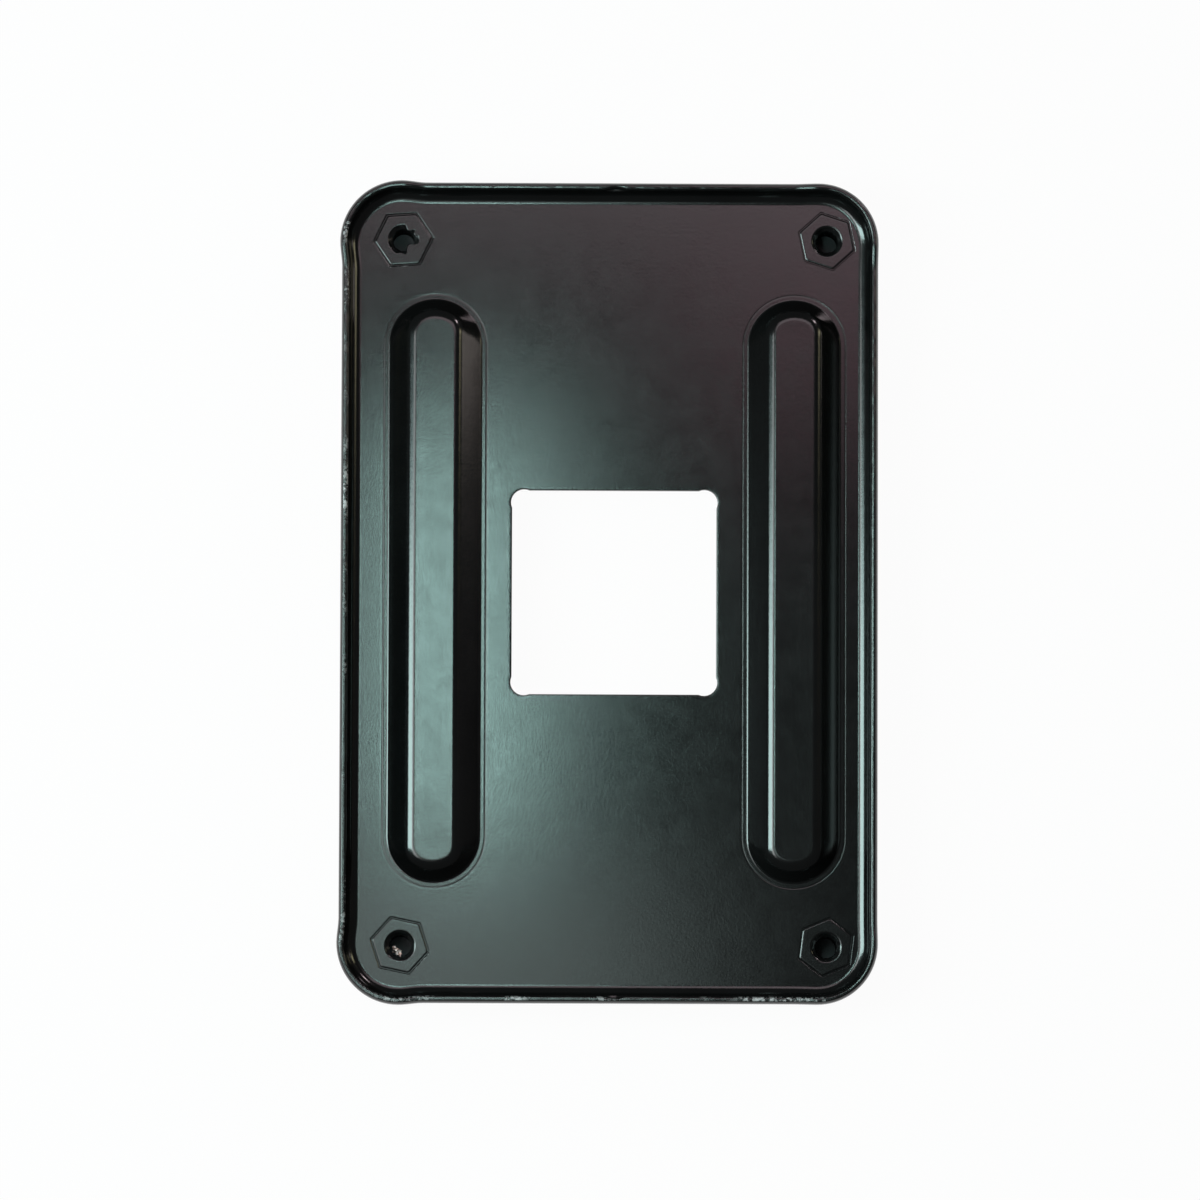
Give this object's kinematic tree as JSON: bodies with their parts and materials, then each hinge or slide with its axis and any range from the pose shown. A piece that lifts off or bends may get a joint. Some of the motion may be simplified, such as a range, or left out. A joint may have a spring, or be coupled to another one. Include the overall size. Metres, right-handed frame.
{
  "type": "processor cooler backplate",
  "caption": "Stamped steel tray with an upturned rim, long raised ribs, a square window and threaded standoffs pressed in at its corners, to bolt a cooler through a circuit board.",
  "frame": {"origin": "centre of the screw pattern, on the insulating sheet's face that lies against the circuit board", "axes": "+X along the short side, +Y along the long side, +Z away from the board, towards the rim's open side"},
  "size_m": [0.0685, 0.1049, 0.0109],
  "materials": {
    "coated_steel": "satin black coating with a faint grain",
    "standoff_steel": "satin black coating, thinner in the thread",
    "insulation": "matte black film"
  },
  "bodies": {
    "root": {"backplate": "coated_steel", "standoff_rear_left": "standoff_steel", "standoff_rear_right": "standoff_steel", "standoff_front_left": "standoff_steel", "standoff_front_right": "standoff_steel", "insulating_sheet": "insulation"}
  },
  "joints": []
}
